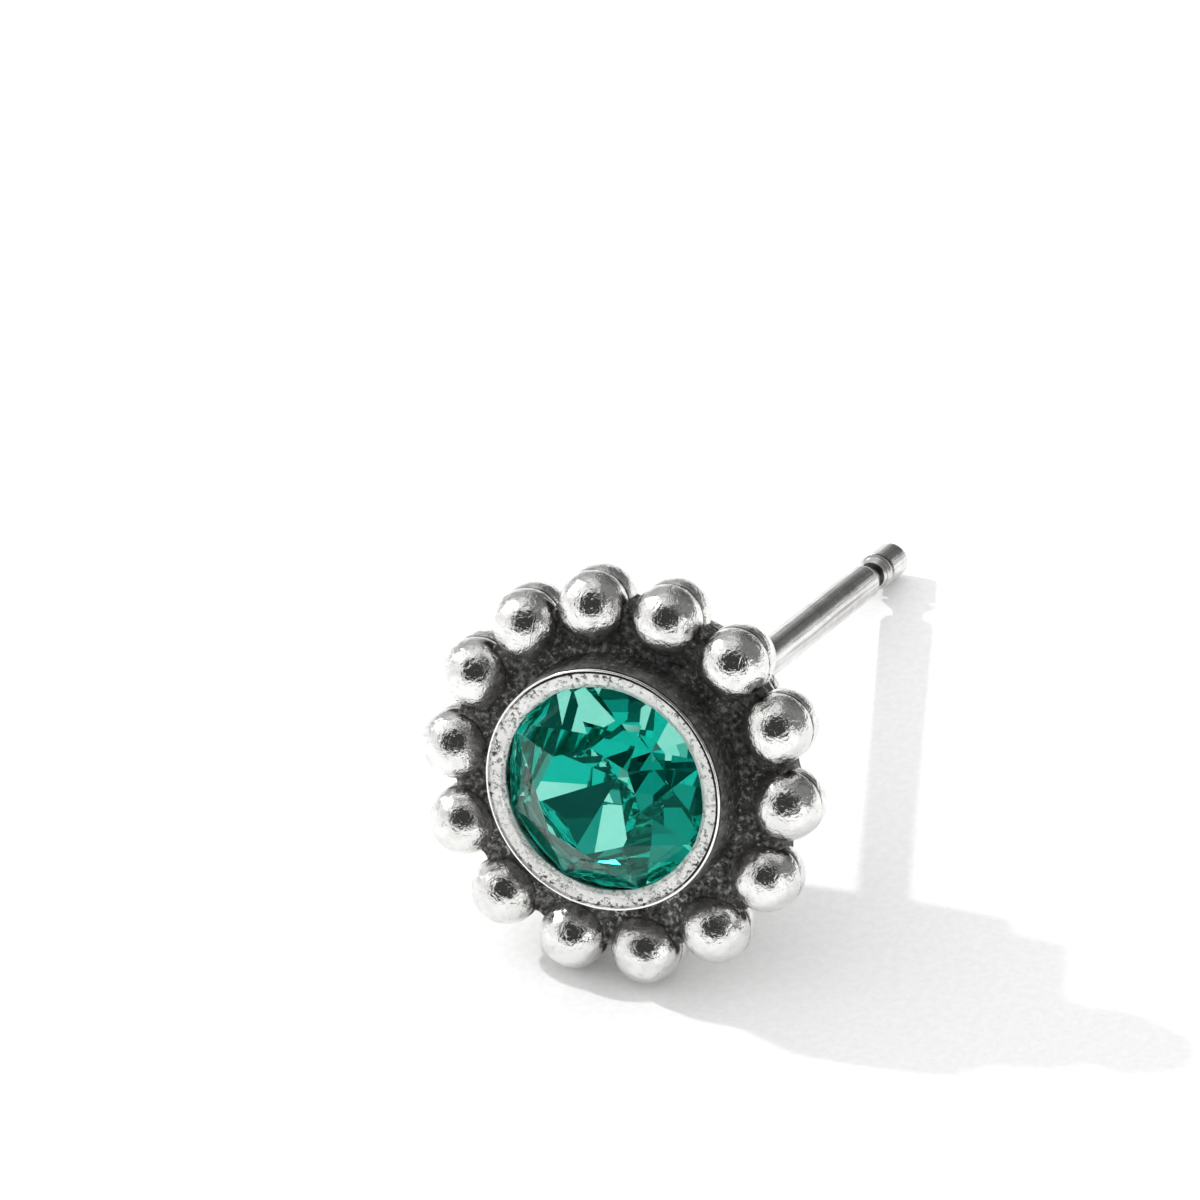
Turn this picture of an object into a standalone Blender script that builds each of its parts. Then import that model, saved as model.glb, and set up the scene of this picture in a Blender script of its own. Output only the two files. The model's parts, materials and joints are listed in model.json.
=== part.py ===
"""A stud earring: a round green crystal in a bezel cup, a halo of beads soldered to a plate,
a grooved drum with a boss behind it, and a notched wire post. It lies as it would by itself on a table,
on two neighbouring beads and the tip of the post, with its face towards -Y."""

import math

import bmesh
import bpy
from mathutils import Matrix

# Driving dimensions in metres. The earring's own axis is local Z: the face looks along +Z,
# the drum's rear face lies at z = 0, and the boss and the post run along -Z.
CLEARANCE = 0.00003  # the seam between two neighbouring pieces

STONE_RADIUS = 0.00236
STONE_TABLE_RADIUS = 0.00122
STONE_LOWER_RADIUS = 0.00055
STONE_CROWN_HEIGHT = 0.00101
STONE_GIRDLE_HEIGHT = 0.00008
STONE_PAVILION_DEPTH = 0.00200
STONE_MAIN_FACETS = 8

BEZEL_WALL = 0.00034  # from the stone's cavity to the outer edge of the rim
BEZEL_FLARE = 0.00008  # how much wider the wall is at the plate
BEZEL_HEIGHT = 0.00100  # above the plate
BEZEL_CHAMFER = 0.00003
RIM_LAND = 0.00008  # the bright outer ring of the rim
DISH_STEP = 0.00003  # the drop from that ring to the satin one
DISH_DEPTH = 0.00007  # the drop at the mouth
LIP_THICKNESS = 0.00005
LIP_OVERLAP = 0.00007  # how far the lip reaches over the stone's edge
CUP_FLOOR = 0.00030  # metal under the stone's point
STEM_WALL = 0.00030  # metal round the stone where the cup goes through the plate

BEAD_RADIUS = 0.00077
BEAD_LENGTHENING = 0.00050  # from the front ball's centre to the rear ball's
BEAD_SINK = 0.00006  # how far the front ball's centre lies behind the plate's face
BEAD_MOAT = 0.00037  # from the foot of the bezel to the beads
BEAD_LEAST_GAP = 0.00015
PLATE_THICKNESS = 0.00072
PLATE_WEB = 0.00025  # how far the plate reaches past the circle through the beads' centres
PLATE_EDGE = 0.00006

DRUM_WALL = 0.00040
DRUM_ROOM = 0.00012  # round the cup's stem
DRUM_FLOOR = 0.00100
CUP_ROOM = 0.00045  # under the cup, inside the drum
DRUM_EDGE = 0.00005
BAND_HEIGHT = 0.00028  # the rim band at the ear side
GROOVE_WIDTH = 0.00008
GROOVE_DEPTH = 0.00006
BOSS_RADIUS = 0.00192  # the step behind the drum, whose flat rear is the ear face
BOSS_HEIGHT = 0.00062
BOSS_EDGE = 0.00010

POST_RADIUS = 0.00040
POST_LENGTH = 0.01254  # from the drum's rear face to the tip
POST_ROOT = 0.00060  # the stretch that is set in the drum's floor
TIP_ROUNDING = 0.00008
HEAD_LENGTH = 0.00085
RING_GROOVE_LENGTH = 0.00010
RING_GROOVE_DEPTH = 0.00005
RING_LENGTH = 0.00008
CONE_LENGTH = 0.00032
NECK_RADIUS = 0.00023
NECK_LENGTH = 0.00024
SHOULDER_LENGTH = 0.00022

TURNED_SIDES = 48
BEAD_SIDES = 16
BEAD_ARC_STEPS = 6
POST_SIDES = 16
ROUNDING_STEPS = 3

# The stone's slopes, and depths below the top of the rim
HALF_FACET = math.pi / STONE_MAIN_FACETS
MAIN_SLOPE = STONE_CROWN_HEIGHT / (STONE_RADIUS * math.cos(HALF_FACET) - STONE_TABLE_RADIUS)
EDGE_SLOPE = STONE_CROWN_HEIGHT / (STONE_RADIUS - STONE_TABLE_RADIUS * math.cos(HALF_FACET))
SCALLOP_DEPTH = MAIN_SLOPE * STONE_RADIUS * (1 - math.cos(HALF_FACET))
SHALLOWEST_PAVILION = STONE_PAVILION_DEPTH / STONE_RADIUS * math.cos(HALF_FACET)
LIP_DEPTH = DISH_DEPTH + LIP_THICKNESS
GIRDLE_DEPTH = LIP_DEPTH + 2 * CLEARANCE + LIP_OVERLAP * EDGE_SLOPE
BAND_DEPTH = GIRDLE_DEPTH + SCALLOP_DEPTH + STONE_GIRDLE_HEIGHT
CULET_DEPTH = BAND_DEPTH + STONE_PAVILION_DEPTH
SEAT_DEPTH = CULET_DEPTH + CLEARANCE * math.hypot(1, SHALLOWEST_PAVILION)
STEM_DEPTH = SEAT_DEPTH + CUP_FLOOR

# Heights above the drum's rear face
DRUM_HEIGHT = (
    DRUM_FLOOR + CUP_ROOM + STEM_DEPTH - BEZEL_HEIGHT - PLATE_THICKNESS - 2 * CLEARANCE
)
PLATE_REAR = DRUM_HEIGHT + CLEARANCE
PLATE_FRONT = PLATE_REAR + PLATE_THICKNESS
BEZEL_FOOT = PLATE_FRONT + CLEARANCE
BEZEL_TOP = BEZEL_FOOT + BEZEL_HEIGHT
MOUTH_TOP = BEZEL_TOP - DISH_DEPTH
LIP_UNDERSIDE = BEZEL_TOP - LIP_DEPTH
GIRDLE_TOP = BEZEL_TOP - GIRDLE_DEPTH
GIRDLE_BOTTOM = BEZEL_TOP - BAND_DEPTH
CULET = BEZEL_TOP - CULET_DEPTH
SEAT_POINT = BEZEL_TOP - SEAT_DEPTH
STEM_BOTTOM = BEZEL_TOP - STEM_DEPTH

# Radii
CAVITY_RADIUS = STONE_RADIUS + CLEARANCE
BEZEL_RADIUS = CAVITY_RADIUS + BEZEL_WALL
FOOT_RADIUS = BEZEL_RADIUS + BEZEL_FLARE
MOUTH_RADIUS = STONE_RADIUS - LIP_OVERLAP
STEM_RADIUS = (PLATE_FRONT - SEAT_POINT) / SHALLOWEST_PAVILION + STEM_WALL
DRUM_INNER_RADIUS = STEM_RADIUS + DRUM_ROOM
DRUM_RADIUS = DRUM_INNER_RADIUS + DRUM_WALL

PITCH_RADIUS = FOOT_RADIUS + BEAD_MOAT + BEAD_RADIUS
BEAD_COUNT = int(math.pi / math.asin((BEAD_RADIUS + BEAD_LEAST_GAP / 2) / PITCH_RADIUS))
FRONT_BALL = PLATE_FRONT - BEAD_SINK
REAR_BALL = FRONT_BALL - BEAD_LENGTHENING
PLATE_RADIUS = PITCH_RADIUS + PLATE_WEB
PLATE_HOLE = STEM_RADIUS + CLEARANCE


def material(name, colour, metallic, roughness):
    """A Principled material with these values."""
    made = bpy.data.materials.new(name)
    made.use_nodes = True
    shader = made.node_tree.nodes["Principled BSDF"]
    shader.inputs["Base Color"].default_value = (*colour, 1)
    shader.inputs["Metallic"].default_value = metallic
    shader.inputs["Roughness"].default_value = roughness
    return made


def collection(name):
    made = bpy.data.collections.new(name)
    bpy.context.scene.collection.children.link(made)
    return made


def add_object(name, mesh, finish, group):
    made = bpy.data.objects.new(name, mesh)
    made.data.materials.append(finish)
    group.objects.link(made)
    return made


def arc(centre_radius, centre_height, radius, start, end, steps):
    """Points (r, z) on an arc. An angle is measured from the +Z direction towards +X."""
    angles = [start + (end - start) * step / steps for step in range(steps + 1)]
    return [
        (centre_radius + radius * math.sin(angle), centre_height + radius * math.cos(angle))
        for angle in angles
    ]


def turned(name, profile, sides, finish, group, ring=False):
    """A body of revolution about Z. The profile (r, z) runs down the outer side; a ring's is a closed loop."""
    count = len(profile)
    edges = [(index, index + 1) for index in range(count - 1)]
    if ring:
        edges.append((count - 1, 0))
    mesh = bpy.data.meshes.new(name)
    mesh.from_pydata([(radius, 0, height) for radius, height in profile], edges, [])
    made = add_object(name, mesh, finish, group)
    screw = made.modifiers.new("turn", "SCREW")
    screw.axis = "Z"
    screw.angle = 2 * math.pi
    screw.steps = sides
    screw.render_steps = sides
    screw.use_merge_vertices = True
    screw.merge_threshold = 1e-7
    screw.use_smooth_shade = False
    return made


def ring_of_points(count, radius, height, phase=0.0):
    step = 2 * math.pi / count
    return [
        (
            radius * math.cos(phase + index * step),
            radius * math.sin(phase + index * step),
            height,
        )
        for index in range(count)
    ]


def crystal(finish, group):
    """A round stone with a high crown: the hull of its corners, whose flat facets are then made whole.
    Sixteen triangles join the table to the girdle. Those that stand on the girdle cut into it in scallops."""
    mains = STONE_MAIN_FACETS
    lower_height = CULET + SHALLOWEST_PAVILION * STONE_LOWER_RADIUS
    corners = [(0, 0, CULET)]
    corners += ring_of_points(mains, STONE_TABLE_RADIUS, GIRDLE_TOP + STONE_CROWN_HEIGHT)
    corners += ring_of_points(mains, STONE_RADIUS, GIRDLE_TOP, HALF_FACET)
    corners += ring_of_points(mains, STONE_RADIUS, GIRDLE_TOP - SCALLOP_DEPTH)
    corners += ring_of_points(2 * mains, STONE_RADIUS, GIRDLE_BOTTOM)
    corners += ring_of_points(mains, STONE_LOWER_RADIUS, lower_height, HALF_FACET)
    shape = bmesh.new()
    for corner in corners:
        shape.verts.new(corner)
    bmesh.ops.convex_hull(shape, input=shape.verts)
    bmesh.ops.dissolve_limit(
        shape, angle_limit=math.radians(0.5), verts=shape.verts, edges=shape.edges
    )
    bmesh.ops.recalc_face_normals(shape, faces=shape.faces)
    mesh = bpy.data.meshes.new("crystal")
    shape.to_mesh(mesh)
    shape.free()
    return add_object("crystal", mesh, finish, group)


def bezel_cup(finish, group):
    """The setting: a cup whose cavity follows the stone, with a lip over the stone's edge."""
    wall_foot_height = SEAT_POINT + SHALLOWEST_PAVILION * CAVITY_RADIUS
    lip_root_height = LIP_UNDERSIDE - EDGE_SLOPE * (CAVITY_RADIUS - MOUTH_RADIUS)
    land_radius = BEZEL_RADIUS - BEZEL_CHAMFER - RIM_LAND
    profile = [
        (0, SEAT_POINT),
        (CAVITY_RADIUS, wall_foot_height),
        (CAVITY_RADIUS, lip_root_height),
        (MOUTH_RADIUS, LIP_UNDERSIDE),
        (MOUTH_RADIUS, MOUTH_TOP),
        (land_radius - DISH_STEP, BEZEL_TOP - DISH_STEP),
        (land_radius, BEZEL_TOP),
        (BEZEL_RADIUS - BEZEL_CHAMFER, BEZEL_TOP),
        (BEZEL_RADIUS, BEZEL_TOP - BEZEL_CHAMFER),
        (FOOT_RADIUS, BEZEL_FOOT),
        (STEM_RADIUS, BEZEL_FOOT),
        (STEM_RADIUS, STEM_BOTTOM),
        (0, STEM_BOTTOM),
    ]
    return turned("bezel_cup", profile, TURNED_SIDES, finish, group)


def bead_pattern(finish, group):
    """One bead about Z: a front ball and a rear ball that run into each other at a fine groove."""
    crease = math.pi / 2 + math.asin(BEAD_LENGTHENING / 2 / BEAD_RADIUS)
    front = arc(0, FRONT_BALL, BEAD_RADIUS, 0, crease, BEAD_ARC_STEPS)
    rear = arc(0, REAR_BALL, BEAD_RADIUS, math.pi - crease, math.pi, BEAD_ARC_STEPS)
    return turned("bead_pattern", front + rear[1:], BEAD_SIDES, finish, group)


def bead_ring(finish, group):
    """All the beads in one mesh, with the two lowest level with each other at local -Y."""
    pattern = bead_pattern(finish, group)
    graph = bpy.context.evaluated_depsgraph_get()
    bead = bpy.data.meshes.new_from_object(pattern.evaluated_get(graph))
    bpy.data.objects.remove(pattern)
    shape = bmesh.new()
    for index in range(BEAD_COUNT):
        angle = (index + 0.5) * 2 * math.pi / BEAD_COUNT - math.pi / 2
        place = Matrix.Rotation(angle, 4, "Z") @ Matrix.Translation((PITCH_RADIUS, 0, 0))
        copy = bead.copy()
        copy.transform(place)
        shape.from_mesh(copy)
        bpy.data.meshes.remove(copy)
    bpy.data.meshes.remove(bead)
    mesh = bpy.data.meshes.new("bead_ring")
    shape.to_mesh(mesh)
    shape.free()
    made = add_object("bead_ring", mesh, finish, group)
    made.hide_render = True
    made.display_type = "WIRE"
    return made


def bead_halo(finish, group, cutters):
    """The plate with the beads soldered on: one solid, open in the middle for the cup's stem."""
    profile = [
        (PLATE_HOLE, PLATE_FRONT),
        (PLATE_RADIUS - PLATE_EDGE, PLATE_FRONT),
        (PLATE_RADIUS, PLATE_FRONT - PLATE_EDGE),
        (PLATE_RADIUS, PLATE_REAR + PLATE_EDGE),
        (PLATE_RADIUS - PLATE_EDGE, PLATE_REAR),
        (PLATE_HOLE, PLATE_REAR),
    ]
    made = turned("bead_halo", profile, TURNED_SIDES, finish, group, ring=True)
    solder = made.modifiers.new("solder", "BOOLEAN")
    solder.operation = "UNION"
    solder.solver = "EXACT"
    solder.object = bead_ring(finish, cutters)
    return made


def back_drum(finish, group):
    """The drum behind the plate: open in front, with a groove near its rear, and a boss with a socket for the post."""
    socket_radius = POST_RADIUS + CLEARANCE
    socket_top = POST_ROOT + CLEARANCE
    groove_floor = DRUM_RADIUS - GROOVE_DEPTH
    groove_top = BAND_HEIGHT + GROOVE_WIDTH
    profile = [
        (0, DRUM_FLOOR),
        (DRUM_INNER_RADIUS, DRUM_FLOOR),
        (DRUM_INNER_RADIUS, DRUM_HEIGHT),
        (DRUM_RADIUS - DRUM_EDGE, DRUM_HEIGHT),
        (DRUM_RADIUS, DRUM_HEIGHT - DRUM_EDGE),
        (DRUM_RADIUS, groove_top),
        (groove_floor, groove_top - GROOVE_WIDTH / 4),
        (groove_floor, BAND_HEIGHT + GROOVE_WIDTH / 4),
        (DRUM_RADIUS, BAND_HEIGHT),
    ]
    edge_centre = DRUM_RADIUS - DRUM_EDGE
    profile += arc(edge_centre, DRUM_EDGE, DRUM_EDGE, math.pi / 2, math.pi, ROUNDING_STEPS)
    boss_rear = -BOSS_HEIGHT
    profile.append((BOSS_RADIUS, 0))
    profile += arc(
        BOSS_RADIUS - BOSS_EDGE, boss_rear + BOSS_EDGE, BOSS_EDGE, math.pi / 2, math.pi, ROUNDING_STEPS
    )
    profile += [
        (socket_radius, boss_rear),
        (socket_radius, socket_top),
        (0, socket_top),
    ]
    return turned("back_drum", profile, TURNED_SIDES, finish, group)


def ear_post(finish, group):
    """The wire, from its root in the drum to the rounded head, with the notch for a clutch."""
    tip = -POST_LENGTH
    head_front = tip + HEAD_LENGTH
    ring_rear = head_front + RING_GROOVE_LENGTH
    ring_front = ring_rear + RING_LENGTH
    cone_front = ring_front + CONE_LENGTH
    shoulder = cone_front + NECK_LENGTH
    shaft_end = shoulder + SHOULDER_LENGTH
    half_step = (POST_RADIUS - NECK_RADIUS) / 2
    profile = [
        (0, POST_ROOT),
        (POST_RADIUS, POST_ROOT),
        (POST_RADIUS, shaft_end),
        (POST_RADIUS - half_step / 2, shoulder + SHOULDER_LENGTH / 3),
        (NECK_RADIUS + half_step, shoulder),
        (NECK_RADIUS, shoulder),
        (NECK_RADIUS, cone_front),
        (POST_RADIUS, ring_front),
        (POST_RADIUS, ring_rear),
        (POST_RADIUS - RING_GROOVE_DEPTH, ring_rear - RING_GROOVE_LENGTH / 3),
        (POST_RADIUS - RING_GROOVE_DEPTH, head_front + RING_GROOVE_LENGTH / 3),
        (POST_RADIUS, head_front),
    ]
    round_centre = POST_RADIUS - TIP_ROUNDING
    profile += arc(
        round_centre, tip + TIP_ROUNDING, TIP_ROUNDING, math.pi / 2, math.pi, ROUNDING_STEPS
    )
    profile.append((0, tip))
    return turned("ear_post", profile, POST_SIDES, finish, group)


def resting_dip():
    """The angle by which the post dips: the floor touches the two lowest rear balls and the rounded tip."""
    bead_drop = PITCH_RADIUS * math.cos(math.pi / BEAD_COUNT)
    along = REAR_BALL + POST_LENGTH - TIP_ROUNDING
    across = bead_drop - (POST_RADIUS - TIP_ROUNDING)
    return math.atan2(across, along) + math.asin(
        (BEAD_RADIUS - TIP_ROUNDING) / math.hypot(along, across)
    )


def world_corners(pieces):
    graph = bpy.context.evaluated_depsgraph_get()
    corners = []
    for piece in pieces:
        evaluated = piece.evaluated_get(graph)
        mesh = evaluated.to_mesh()
        corners += [evaluated.matrix_world @ vertex.co for vertex in mesh.vertices]
        evaluated.to_mesh_clear()
    return corners


def lay_down(pieces, cutters):
    """Tips the earring on to its two beads and its tip, over the origin, with its lowest point at z = 0."""
    stance = bpy.data.objects.new("stance", None)
    bpy.context.scene.collection.objects.link(stance)
    stance.rotation_euler = (math.pi / 2 - resting_dip(), 0, 0)
    for held in [*pieces, *cutters.objects]:
        held.parent = stance
    bpy.context.view_layer.update()
    corners = world_corners(pieces)
    low = [min(corner[axis] for corner in corners) for axis in range(3)]
    high = [max(corner[axis] for corner in corners) for axis in range(3)]
    stance.location = (-(low[0] + high[0]) / 2, -(low[1] + high[1]) / 2, -low[2])
    bpy.context.view_layer.update()


def main():
    for old in list(bpy.data.objects):
        bpy.data.objects.remove(old)
    silver = material("polished_silver", (0.80, 0.79, 0.77), 1.0, 0.12)
    satin = material("satin_silver", (0.74, 0.73, 0.71), 1.0, 0.30)
    wire = material("drawn_silver", (0.72, 0.71, 0.70), 1.0, 0.25)
    green = material("green_crystal", (0.0, 0.42, 0.33), 0.0, 0.03)
    parts = collection("stud_earring")
    cutters = collection("cutters")
    pieces = [
        crystal(green, parts),
        bezel_cup(satin, parts),
        bead_halo(silver, parts, cutters),
        back_drum(silver, parts),
        ear_post(wire, parts),
    ]
    lay_down(pieces, cutters)


main()
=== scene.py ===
# %% [markdown]
# # A beaded stud earring with a green stone
# This lesson dresses a small silver earring: a faceted green stone in a burnished cup, fourteen
# soldered beads on a blackened plate, a turned drum behind it and a drawn wire post. The solids
# come packed, and each one is replaced here by a surface worked out with numpy, fine enough to
# take a jeweller's polish.

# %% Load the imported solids
import json
import math
from functools import partial

import bmesh
import bpy
import numpy as np
from mathutils import Matrix, Vector


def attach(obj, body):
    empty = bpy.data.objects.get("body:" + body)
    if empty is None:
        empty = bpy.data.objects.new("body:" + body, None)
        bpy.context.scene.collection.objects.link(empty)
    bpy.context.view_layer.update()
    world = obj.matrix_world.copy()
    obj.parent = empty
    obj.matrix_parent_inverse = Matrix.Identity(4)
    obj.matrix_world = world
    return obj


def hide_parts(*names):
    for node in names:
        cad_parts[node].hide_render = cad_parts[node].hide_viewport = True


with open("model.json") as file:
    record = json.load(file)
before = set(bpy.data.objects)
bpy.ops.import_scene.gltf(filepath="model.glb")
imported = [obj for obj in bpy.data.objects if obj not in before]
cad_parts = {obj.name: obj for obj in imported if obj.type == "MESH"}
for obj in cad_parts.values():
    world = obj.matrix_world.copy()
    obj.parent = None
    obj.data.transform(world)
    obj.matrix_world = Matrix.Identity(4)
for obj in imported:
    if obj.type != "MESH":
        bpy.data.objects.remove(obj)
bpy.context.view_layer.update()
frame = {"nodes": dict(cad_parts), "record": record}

# %% [markdown]
# ## The earring's own axes
# The earring lies on two beads and the tip of its post, so its axis dips. Every shape is easier
# to write upright, with z along the axis towards the face and z = 0 at the drum's rear face.
# The frame says how to lay it down: the mount's axis points out of the back, and the post's
# root ring is centred on the earring's axis, a known height above z = 0.

# %% The way from upright millimetres to the lying earring
MM = 0.001
POST_ROOT = 0.60
back_way = np.array(frame["record"]["mounts"][0]["axis"], float)
face_way = -back_way / np.linalg.norm(back_way)
side_way = np.array([1.0, 0.0, 0.0])
up_way = np.cross(face_way, side_way)
AXES = np.array([side_way, up_way, face_way])
post_corners = np.array([v.co for v in frame["nodes"]["ear_post"].data.vertices], float)
along = post_corners @ face_way
root_ring = post_corners[along > along.max() - 1e-6]
HOME = root_ring.mean(axis=0) - POST_ROOT * MM * face_way
DIP = math.atan2(-back_way[2], back_way[1])
print("the axis dips", round(math.degrees(DIP), 2), "degrees")
print("drum's rear face at", (HOME / MM).round(3), "mm")


def laid_down(points):
    """Upright millimetres to metres on the table: home + x * side + y * up + z * face."""
    return HOME + (np.asarray(points) * MM) @ AXES


# %% [markdown]
# ## Sizes
# These are the solids' sizes in millimetres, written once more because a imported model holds
# only corners. The scene adds what the solids leave out: rounded edges, solder, unevenness.

# %% Sizes in millimetres
STONE_RADIUS = 2.36
STONE_TABLE = 1.22
STONE_CROWN = 1.01
STONE_LOWER = 0.55
STONE_PAVILION = 1.55
MAIN_FACETS = 8
BEZEL_TOP = 4.294
BEZEL_RADIUS = 2.73
BEZEL_FOOT_RADIUS = 2.81
MOUTH_RADIUS = 2.29
GIRDLE_TOP = 4.057
CUP_RADIUS = 2.39
STEM_RADIUS = 2.23
STEM_BOTTOM = 1.45
BEAD_COUNT = 14
BEAD_RADIUS = 0.77
BEAD_PITCH = 3.95
FRONT_BALL = 3.204
PLATE_FRONT = 3.264
PLATE_REAR = 2.544
PLATE_RADIUS = 4.20
DRUM_RADIUS = 2.753
DRUM_FRONT = 2.514
BOSS_RADIUS = 1.92
BOSS_REAR = -0.62
POST_RADIUS = 0.40
POST_TIP = -12.54
half_facet = math.pi / MAIN_FACETS
main_slope = STONE_CROWN / (STONE_RADIUS * math.cos(half_facet) - STONE_TABLE)
scallop = main_slope * STONE_RADIUS * (1 - math.cos(half_facet))
print("the stone's girdle dips", round(scallop, 3), "mm in each scallop")

# %% [markdown]
# ## Camera
# The photograph is a close view down on the face with a long lens, a little tipped. A long lens
# from far away keeps the beads at the front and at the back the same size. The camera is placed
# so that the middle of the stone's mouth falls on its pixel of the photograph's frame.

# %% A long lens at the photograph's angle
FRAME_PIXELS = 1200
MOUTH_PIXEL = (603.5, 789.4)
AZIMUTH = math.radians(25.22)
ELEVATION = math.radians(34.45)
ROLL = math.radians(-3.92)
MOUTH_DISTANCE = 257.5 * MM
MOUTH_HEIGHT = 4.224
LENS, SENSOR = 360.0, 36.0
look = Vector((
    -math.sin(AZIMUTH) * math.cos(ELEVATION),
    math.cos(AZIMUTH) * math.cos(ELEVATION),
    -math.sin(ELEVATION),
))
level_right = Vector((math.cos(AZIMUTH), math.sin(AZIMUTH), 0.0))
level_up = level_right.cross(look)
view_right = math.cos(ROLL) * level_right + math.sin(ROLL) * level_up
view_up = -math.sin(ROLL) * level_right + math.cos(ROLL) * level_up
mouth = Vector(laid_down([[0, 0, MOUTH_HEIGHT]])[0])
pixel_size = SENSOR / LENS / FRAME_PIXELS * MOUTH_DISTANCE
across = (MOUTH_PIXEL[0] - FRAME_PIXELS / 2) * pixel_size
down = (MOUTH_PIXEL[1] - FRAME_PIXELS / 2) * pixel_size
camera_data = bpy.data.cameras.new("close_camera")
camera_data.lens = LENS
camera_data.sensor_width = SENSOR
camera_data.clip_start = 0.01
camera_data.clip_end = 20.0
camera = bpy.data.objects.new("close_camera", camera_data)
bpy.context.scene.collection.objects.link(camera)
place = mouth - look * MOUTH_DISTANCE - view_right * across + view_up * down
turn = Matrix((view_right, view_up, -look)).transposed()
camera.matrix_world = Matrix.Translation(place) @ turn.to_4x4()
bpy.context.scene.camera = camera
print("camera at", [round(v / MM, 1) for v in place], "mm")

# %% [markdown]
# ## Surfaces from arrays
# A turned piece is a profile (r, z) carried round the axis: x = r cos a, y = r sin a. It could
# be a Screw modifier, but a grid of points can also be pushed in and out by a slow unevenness,
# which is what tells hand-finished silver from a computer's. The corners of a profile are
# rounded by replacing each one by an arc that touches both of its sides.

# %% Helpers for profiles
def rounded(corners, steps=5):
    """The polyline through corners (r, z, radius), with an arc of that radius in place of each corner."""
    found = [np.array(corners[0][:2], float)]
    for before, here, after in zip(corners, corners[1:], corners[2:]):
        point = np.array(here[:2], float)
        back = np.array(before[:2], float) - point
        ahead = np.array(after[:2], float) - point
        back_length, ahead_length = np.linalg.norm(back), np.linalg.norm(ahead)
        back, ahead = back / back_length, ahead / ahead_length
        half = math.acos(np.clip(back @ ahead, -1, 1)) / 2
        reach = min(here[2] / math.tan(half), 0.49 * back_length, 0.49 * ahead_length)
        radius = reach * math.tan(half)
        if here[2] == 0 or half > 1.56:
            found.append(point)
            continue
        middle = back + ahead
        centre = point + middle / np.linalg.norm(middle) * radius / math.sin(half)
        sweep = math.pi - 2 * half
        start = point + back * reach - centre
        side = point + ahead * reach - centre
        share = np.linspace(0, 1, steps + 1)[:, None]
        bent = (np.sin((1 - share) * sweep) * start + np.sin(share * sweep) * side) / math.sin(sweep)
        found += list(centre + bent)
    found.append(np.array(corners[-1][:2], float))
    return np.array(found)


def denser(profile, step):
    """The same polyline with points no further apart than step."""
    lengths = np.linalg.norm(np.diff(profile, axis=0), axis=1)
    pieces = [
        first + (last - first) * np.linspace(0, 1, max(1, math.ceil(length / step)), endpoint=False)[:, None]
        for first, last, length in zip(profile, profile[1:], lengths)
    ]
    return np.concatenate([*pieces, profile[-1:]])


print("rounded corner sample", rounded([(0, 0, 0), (1, 0, 0.1), (1, 1, 0)]).shape)

# %% [markdown]
# The unevenness is a mean of sine waves in random directions. A noise texture could do it too,
# but sine waves are one line of numpy, and a seed gives the same waves each time. They push
# every point of a turned piece along the normal of its profile.

# %% Helpers for unevenness and turning
def unevenness(points, size, seed):
    """A slow random field, about -1 to 1: the mean of sine waves of about this size in random directions."""
    chance = np.random.default_rng(seed)
    waves = chance.normal(size=(14, 3))
    waves *= (2 * math.pi / size * chance.uniform(0.6, 1.5, 14) / np.linalg.norm(waves, axis=1))[:, None]
    return np.sin(points @ waves.T + chance.uniform(0, 2 * math.pi, 14)).mean(axis=-1) * 2.6


def dents(depth, size, seed):
    """A push for turned_grid: this unevenness, so many millimetres deep."""
    return lambda points: depth * unevenness(points, size, seed)


def carried_round(across, height, columns):
    """The points x = r cos a, y = r sin a, z of every profile point (r, z) at every angle a."""
    angles = np.linspace(0, 2 * math.pi, columns, endpoint=False)
    level = np.repeat(height[:, None], columns, 1)
    return np.stack([np.outer(across, np.cos(angles)), np.outer(across, np.sin(angles)), level], -1)


def turned_grid(profile, columns, push=None):
    """The profile carried round the axis, with each point moved along its normal by push(points)."""
    grid = carried_round(profile[:, 0], profile[:, 1], columns)
    if push is None:
        return grid
    slope = np.gradient(profile, axis=0)
    slope /= np.maximum(np.linalg.norm(slope, axis=1), 1e-9)[:, None]
    ways = carried_round(-slope[:, 1], slope[:, 0], columns)
    off_axis = np.clip(profile[:, 0] / 0.05, 0, 1)[:, None, None]
    return grid + ways * push(grid)[..., None] * off_axis


print("unevenness of two points", unevenness(np.eye(3)[:2], 1.0, 1).round(2))

# %% [markdown]
# A grid becomes a mesh by naming the four corners of each cell. At a pole a whole row of points
# lies in one place, so doubles are merged. Then the faces are turned outwards, and edges that
# are sharper than an angle stay crisp.

# %% Putting a grid into a mesh
def grid_faces(rows, columns, ring=False):
    """Quads between neighbouring rows and columns; the columns wrap round, and a ring's rows too."""
    row = np.arange(rows if ring else rows - 1)[:, None]
    column = np.arange(columns)[None, :]
    after_row, after_column = (row + 1) % rows, (column + 1) % columns
    corners = [
        row * columns + column,
        after_row * columns + column,
        after_row * columns + after_column,
        row * columns + after_column,
    ]
    return np.stack(np.broadcast_arrays(*corners), -1).reshape(-1, 4)


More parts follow.
